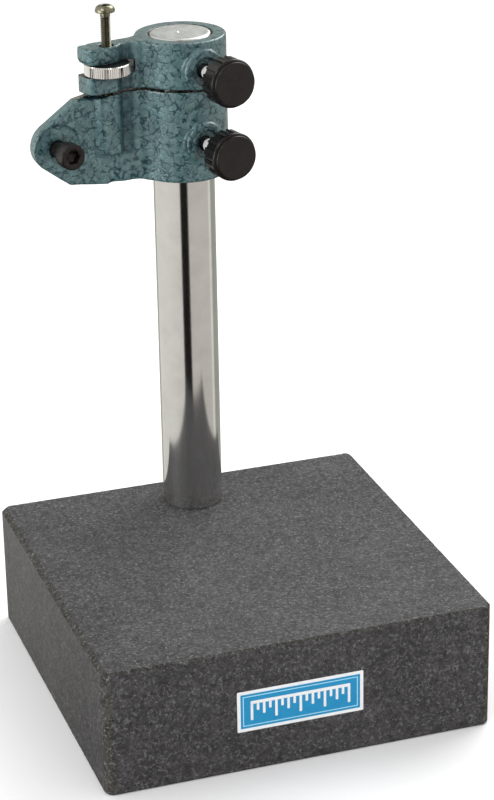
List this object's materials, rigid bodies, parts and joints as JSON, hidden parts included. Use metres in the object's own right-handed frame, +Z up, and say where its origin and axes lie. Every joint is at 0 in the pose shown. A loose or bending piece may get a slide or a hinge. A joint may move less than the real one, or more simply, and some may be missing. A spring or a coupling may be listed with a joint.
{
  "type": "dial indicator stand",
  "caption": "Granite-base comparator stand: a chromed column carries a two-piece hammertone clamp head with fine height adjustment and a lug screw for a dial indicator.",
  "frame": {"origin": "centre of the granite block's underside, on the surface that the stand rests on", "axes": "+X along the block's front edge to the right, +Y to the back where the column stands, +Z up along the column"},
  "size_m": [0.1524, 0.1525, 0.2619],
  "materials": {
    "granite": "lapped, matt",
    "chrome": "polished",
    "bright_steel": "bright zinc",
    "zinc_steel": "yellow zinc",
    "black_oxide": "black oxide",
    "hammer_paint": "hammertone enamel, glossy",
    "black_plastic": "semi-gloss",
    "brass": "turned",
    "label": "printed film"
  },
  "bodies": {
    "base": {"granite_base": "granite", "front_label": "label", "column_stud": "bright_steel", "column_washer": "bright_steel", "column_lock_washer": "bright_steel", "column_nut": "bright_steel"},
    "column": {"column": "chrome"},
    "collar": {"upper_collar": "hammer_paint"},
    "arm": {"lower_arm": "hammer_paint", "fine_adjust_screw": "zinc_steel"},
    "fine_nut": {"fine_adjust_nut": "chrome"},
    "lug_screw": {"lug_screw": "black_oxide"},
    "upper_shoe": {"upper_clamp_shoe": "brass"},
    "upper_knob": {"upper_knob": "black_plastic", "upper_knob_cap": "black_plastic", "upper_knob_screw": "bright_steel"},
    "lower_shoe": {"lower_clamp_shoe": "brass"},
    "lower_knob": {"lower_knob": "black_plastic", "lower_knob_cap": "black_plastic", "lower_knob_screw": "bright_steel"}
  },
  "joints": [
    {"name": "head_swivel", "type": "hinge", "parent": "base", "child": "column", "pos_m": [0, 0.0552, 0.0508], "axis": [0, 0, 1], "continuous": true},
    {"name": "head_height", "type": "slide", "parent": "column", "child": "collar", "axis": [0, 0, 1], "range_m": [-0.125, 0]},
    {"name": "fine_nut_turn", "type": "hinge", "parent": "collar", "child": "fine_nut", "pos_m": [-0.03122, 0.04816, 0.2376], "axis": [0, 0, 1], "range_deg": [-310, 6440]},
    {"name": "fine_adjust", "type": "slide", "parent": "collar", "child": "arm", "axis": [0, 0, 1], "range_m": [-0.0125, 0.0006]},
    {"name": "lug_screw_turn", "type": "hinge", "parent": "arm", "child": "lug_screw", "pos_m": [-0.05287, 0.04328, 0.2095], "axis": [0.2198, -0.9755, 0], "range_deg": [-300, 1500]},
    {"name": "upper_clamp_travel", "type": "slide", "parent": "collar", "child": "upper_shoe", "axis": [0.2198, -0.9755, 0], "range_m": [0, 0.0015]},
    {"name": "upper_knob_turn", "type": "hinge", "parent": "upper_shoe", "child": "upper_knob", "pos_m": [0.00681, 0.02496, 0.2353], "axis": [0.2198, -0.9755, 0], "range_deg": [0, 660]},
    {"name": "lower_clamp_travel", "type": "slide", "parent": "arm", "child": "lower_shoe", "axis": [0.2198, -0.9755, 0], "range_m": [0, 0.0015]},
    {"name": "lower_knob_turn", "type": "hinge", "parent": "lower_shoe", "child": "lower_knob", "pos_m": [0.00681, 0.02496, 0.2069], "axis": [0.2198, -0.9755, 0], "range_deg": [0, 660]}
  ],
  "couplings": [
    {"joint": "fine_nut_turn", "follows": "fine_adjust", "rad_per_m": -8976},
    {"joint": "upper_clamp_travel", "follows": "upper_knob_turn", "m_per_rad": 0.00012732},
    {"joint": "lower_clamp_travel", "follows": "lower_knob_turn", "m_per_rad": 0.00012732}
  ]
}
